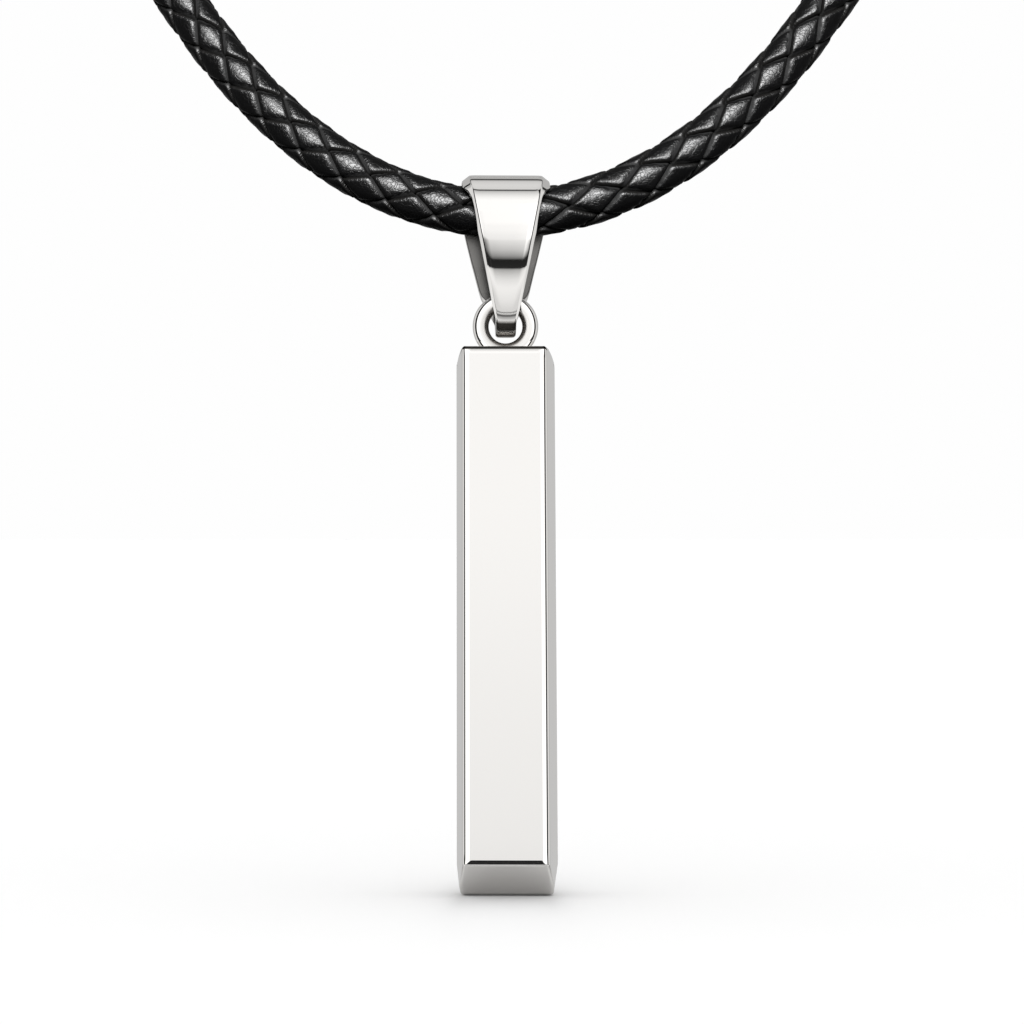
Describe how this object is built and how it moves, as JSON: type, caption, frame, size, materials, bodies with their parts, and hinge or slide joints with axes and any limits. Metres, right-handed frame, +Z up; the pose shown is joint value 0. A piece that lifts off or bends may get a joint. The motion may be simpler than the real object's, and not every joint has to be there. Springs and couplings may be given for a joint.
{
  "type": "bar pendant necklace",
  "caption": "Plain polished square bar hanging by a small ring from a tapered bail on a round braided leather cord that closes at the nape with a barrel clasp.",
  "frame": {"origin": "where the clasp at the back of the loop rests on the nape of the neck; the pendant hangs 130 mm in front of it and 116 mm below", "axes": "+Z up, +X to the right as the necklace is seen from the front, -Y to the front, where the bar's flat face looks"},
  "size_m": [0.1272, 0.1381, 0.1601],
  "materials": {
    "leather": "smooth black leather with a soft sheen",
    "clasp_steel": "polished",
    "bail_steel": "mirror polished",
    "bar_steel": "mirror polished"
  },
  "bodies": {
    "loop": {"cord": "leather", "clasp": "clasp_steel"},
    "bail": {"bail": "bail_steel"},
    "bar": {"bar": "bar_steel"}
  },
  "joints": [
    {"name": "bail_swing", "type": "hinge", "parent": "loop", "child": "bail", "pos_m": [0, -0.13, -0.116], "axis": [0.9986, 0.0523, 0], "range_deg": [-60, 60]},
    {"name": "bar_swing", "type": "hinge", "parent": "bail", "child": "bar", "pos_m": [0, -0.13, -0.12293], "axis": [0.0227, 0.9997, 0], "range_deg": [-60, 60]}
  ]
}
